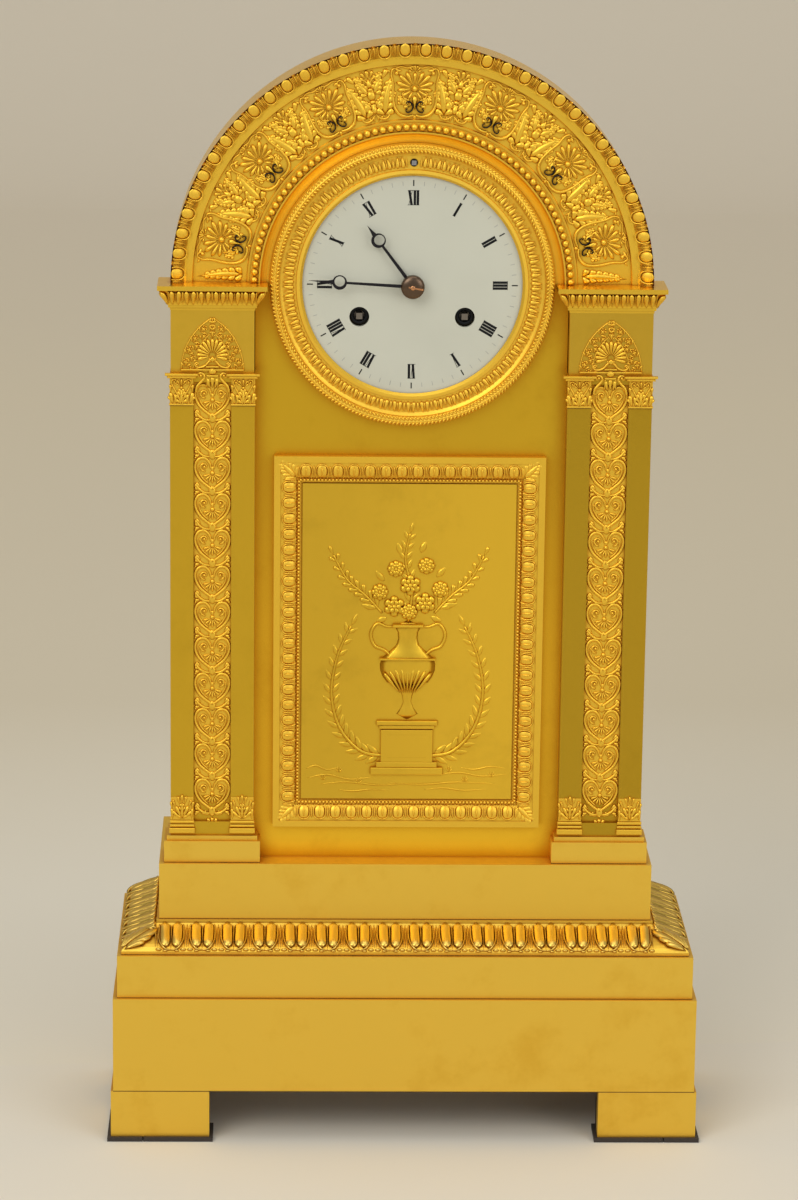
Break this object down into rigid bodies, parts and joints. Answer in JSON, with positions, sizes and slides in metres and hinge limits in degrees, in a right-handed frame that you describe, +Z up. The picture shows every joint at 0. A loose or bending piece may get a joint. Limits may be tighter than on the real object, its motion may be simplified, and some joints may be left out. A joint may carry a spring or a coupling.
{
  "type": "pendulum clock",
  "caption": "Arched gilt bronze mantel clock on a stepped base, with pilasters, a relief panel, an enamel dial with hands and a pendulum movement behind a hinged rear door.",
  "frame": {"origin": "middle of the footprint on the surface that the clock stands on", "axes": "+Z up, the dial faces -Y, +X to the right seen from the front"},
  "size_m": [0.2644, 0.0932, 0.4864],
  "materials": {
    "gilt_matt": "matt mercury-gilt bronze, slightly granular, warm yellow",
    "gilt_burnished": "burnished gilt bronze with soft reflections",
    "gilt_chased": "chased gilt bronze ornament, darker and more orange in the hollows",
    "movement_brass": "fine brushed brass of the movement",
    "sheet_brass": "dull lacquered brass sheet of the case back",
    "polished_steel": "polished steel of arbors and screws",
    "blued_steel": "dark blued steel of the hands",
    "enamel": "white vitreous enamel, glossy",
    "pad_leather": "dark leather strips"
  },
  "bodies": {
    "case": {"foot_pads": "pad_leather", "feet": "gilt_matt", "lower_plinth": "gilt_matt", "upper_plinth": "gilt_matt", "base_moulding": "gilt_chased", "die_block": "gilt_matt", "pedestal_left": "gilt_matt", "pedestal_right": "gilt_matt", "pilaster_left": "gilt_burnished", "pilaster_right": "gilt_burnished", "heart_chains": "gilt_chased", "pilaster_bases": "gilt_chased", "capitals": "gilt_chased", "frieze_block_left": "gilt_matt", "frieze_block_right": "gilt_matt", "lunettes": "gilt_chased", "cornice_left": "gilt_burnished", "cornice_right": "gilt_burnished", "front_plate": "gilt_matt", "arch_frieze": "gilt_chased", "arch_rim": "gilt_burnished", "bead_ring": "gilt_chased", "case_shell": "sheet_brass", "back_plate": "sheet_brass", "rear_bezel": "gilt_burnished", "hinge_pin": "polished_steel", "panel_frame": "gilt_chased", "relief_panel": "gilt_chased", "bezel": "gilt_burnished", "case_screws": "polished_steel", "dial": "enamel", "dial_plate": "movement_brass", "movement_front_plate": "movement_brass", "movement_back_plate": "movement_brass", "movement_straps": "movement_brass", "suspension_cock": "movement_brass", "bell": "movement_brass"},
    "hands": {"cannon_pinion": "movement_brass", "minute_hand": "blued_steel"},
    "centre_wheel": {"centre_wheel": "movement_brass"},
    "hours": {"hour_wheel": "movement_brass", "hour_hand": "blued_steel"},
    "minute_wheel": {"minute_wheel": "movement_brass"},
    "intermediate_wheel": {"intermediate_wheel": "movement_brass"},
    "going_barrel": {"going_barrel": "movement_brass"},
    "third_wheel": {"third_wheel": "movement_brass"},
    "escape_wheel": {"escape_wheel": "movement_brass"},
    "anchor": {"anchor": "polished_steel"},
    "pendulum": {"pendulum": "movement_brass"},
    "going_arbor": {"going_arbor": "polished_steel"},
    "strike_arbor": {"strike_arbor": "polished_steel"},
    "strike_barrel": {"strike_barrel": "movement_brass"},
    "strike_second_wheel": {"strike_second_wheel": "movement_brass"},
    "pin_wheel": {"pin_wheel": "movement_brass"},
    "locking_wheel": {"locking_wheel": "movement_brass"},
    "fly": {"fly": "movement_brass"},
    "regulator": {"regulator_arbor": "polished_steel"},
    "hammer": {"hammer": "polished_steel"},
    "rear_door": {"rear_door": "gilt_burnished"},
    "door_latch": {"door_latch": "polished_steel"}
  },
  "joints": [
    {"name": "hands_turn", "type": "hinge", "parent": "case", "child": "hands", "pos_m": [0, 0, 0.3822], "axis": [0, 1, 0], "continuous": true},
    {"name": "centre_turn", "type": "hinge", "parent": "case", "child": "centre_wheel", "pos_m": [0, 0.01, 0.3822], "axis": [0, 1, 0], "continuous": true},
    {"name": "hours_turn", "type": "hinge", "parent": "case", "child": "hours", "pos_m": [0, -0.012, 0.3822], "axis": [0, 1, 0], "continuous": true},
    {"name": "minute_wheel_turn", "type": "hinge", "parent": "case", "child": "minute_wheel", "pos_m": [-0.00848, -0.007, 0.39069], "axis": [0, 1, 0], "continuous": true},
    {"name": "intermediate_turn", "type": "hinge", "parent": "case", "child": "intermediate_wheel", "pos_m": [0.00434, 0.007, 0.36706], "axis": [0, 1, 0], "continuous": true},
    {"name": "going_barrel_turn", "type": "hinge", "parent": "case", "child": "going_barrel", "pos_m": [0.0228, 0.007, 0.3682], "axis": [0, 1, 0], "continuous": true},
    {"name": "third_turn", "type": "hinge", "parent": "case", "child": "third_wheel", "pos_m": [0.0089, 0.007, 0.39485], "axis": [0, 1, 0], "continuous": true},
    {"name": "escape_turn", "type": "hinge", "parent": "case", "child": "escape_wheel", "pos_m": [0, 0.007, 0.4052], "axis": [0, 1, 0], "continuous": true},
    {"name": "pendulum_swing", "type": "hinge", "parent": "case", "child": "pendulum", "pos_m": [0, 0.02745, 0.4252], "axis": [0, 1, 0], "range_deg": [-3, 3]},
    {"name": "anchor_swing", "type": "hinge", "parent": "case", "child": "anchor", "pos_m": [0, 0.02, 0.4182], "axis": [0, 1, 0], "range_deg": [-4, 4]},
    {"name": "going_winding", "type": "hinge", "parent": "case", "child": "going_arbor", "pos_m": [0.0228, 0, 0.3682], "axis": [0, 1, 0], "continuous": true},
    {"name": "strike_winding", "type": "hinge", "parent": "case", "child": "strike_arbor", "pos_m": [-0.0228, 0, 0.3682], "axis": [0, 1, 0], "continuous": true},
    {"name": "strike_barrel_turn", "type": "hinge", "parent": "case", "child": "strike_barrel", "pos_m": [-0.0228, 0.007, 0.3682], "axis": [0, 1, 0], "continuous": true},
    {"name": "strike_second_turn", "type": "hinge", "parent": "case", "child": "strike_second_wheel", "pos_m": [-0.02409, 0.007, 0.38666], "axis": [0, 1, 0], "continuous": true},
    {"name": "pin_wheel_turn", "type": "hinge", "parent": "case", "child": "pin_wheel", "pos_m": [-0.01346, 0.007, 0.39766], "axis": [0, 1, 0], "continuous": true},
    {"name": "locking_turn", "type": "hinge", "parent": "case", "child": "locking_wheel", "pos_m": [-0.01535, 0.007, 0.40835], "axis": [0, 1, 0], "continuous": true},
    {"name": "fly_turn", "type": "hinge", "parent": "case", "child": "fly", "pos_m": [-0.02324, 0.007, 0.40547], "axis": [0, 1, 0], "continuous": true},
    {"name": "regulator_turn", "type": "hinge", "parent": "case", "child": "regulator", "pos_m": [0, 0.005, 0.4354], "axis": [0, 1, 0], "continuous": true},
    {"name": "hammer_lift", "type": "hinge", "parent": "case", "child": "hammer", "pos_m": [-0.0335, 0.01, 0.4017], "axis": [0, 1, 0], "range_deg": [0, 8]},
    {"name": "door_swing", "type": "hinge", "parent": "case", "child": "rear_door", "pos_m": [-0.0642, 0.0419, 0.3822], "axis": [0, 0, 1], "range_deg": [0, 100]},
    {"name": "latch_turn", "type": "hinge", "parent": "rear_door", "child": "door_latch", "pos_m": [0.03551, 0.042, 0.3617], "axis": [0, 1, 0], "range_deg": [0, 90]}
  ],
  "couplings": [
    {"joint": "hours_turn", "follows": "hands_turn", "ratio": 0.083333},
    {"joint": "minute_wheel_turn", "follows": "hands_turn", "ratio": -0.33333},
    {"joint": "third_turn", "follows": "escape_turn", "ratio": -0.083333},
    {"joint": "centre_turn", "follows": "escape_turn", "ratio": 0.0069444},
    {"joint": "intermediate_turn", "follows": "escape_turn", "ratio": -0.0011574},
    {"joint": "going_barrel_turn", "follows": "escape_turn", "ratio": 0.00018084},
    {"joint": "anchor_swing", "follows": "pendulum_swing", "ratio": 1.2593},
    {"joint": "locking_turn", "follows": "fly_turn", "ratio": -0.16667},
    {"joint": "pin_wheel_turn", "follows": "fly_turn", "ratio": 0.024691},
    {"joint": "strike_second_turn", "follows": "fly_turn", "ratio": -0.0032922},
    {"joint": "strike_barrel_turn", "follows": "fly_turn", "ratio": 0.0005144}
  ]
}
